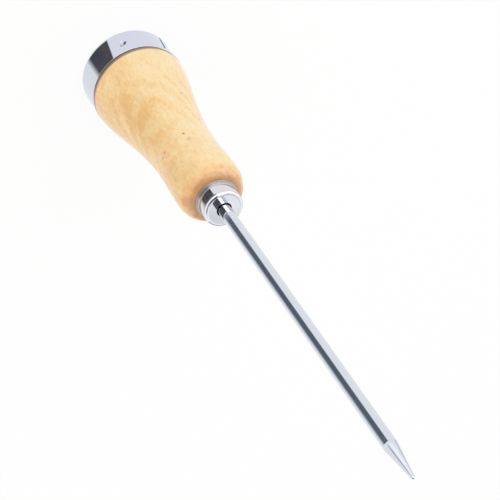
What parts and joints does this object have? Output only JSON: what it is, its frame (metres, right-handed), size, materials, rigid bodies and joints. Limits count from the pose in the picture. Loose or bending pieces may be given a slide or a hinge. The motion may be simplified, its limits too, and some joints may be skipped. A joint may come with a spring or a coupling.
{
  "type": "scratch awl",
  "caption": "scratch awl with a waisted turned wooden handle, steel striking cap on the butt, flanged steel ferrule and a round steel blade with a conical point",
  "frame": {"origin": "centre of the flat struck face of the cap, which lies on z = 0", "axes": "+Z runs along the axis of the tool from the struck face to the point; +X and +Y are square to it, and the tool is round about +Z but for its two punch marks"},
  "size_m": [0.0364, 0.0364, 0.2381],
  "materials": {
    "handle": "clear satin varnish over pale close-grained hardwood",
    "blade": "bright ground and polished steel rod",
    "ferrule": "bright plated steel",
    "striking_cap": "bright plated steel"
  },
  "bodies": {
    "root": {"handle": "handle", "blade": "blade", "ferrule": "ferrule", "striking_cap": "striking_cap"}
  },
  "joints": []
}
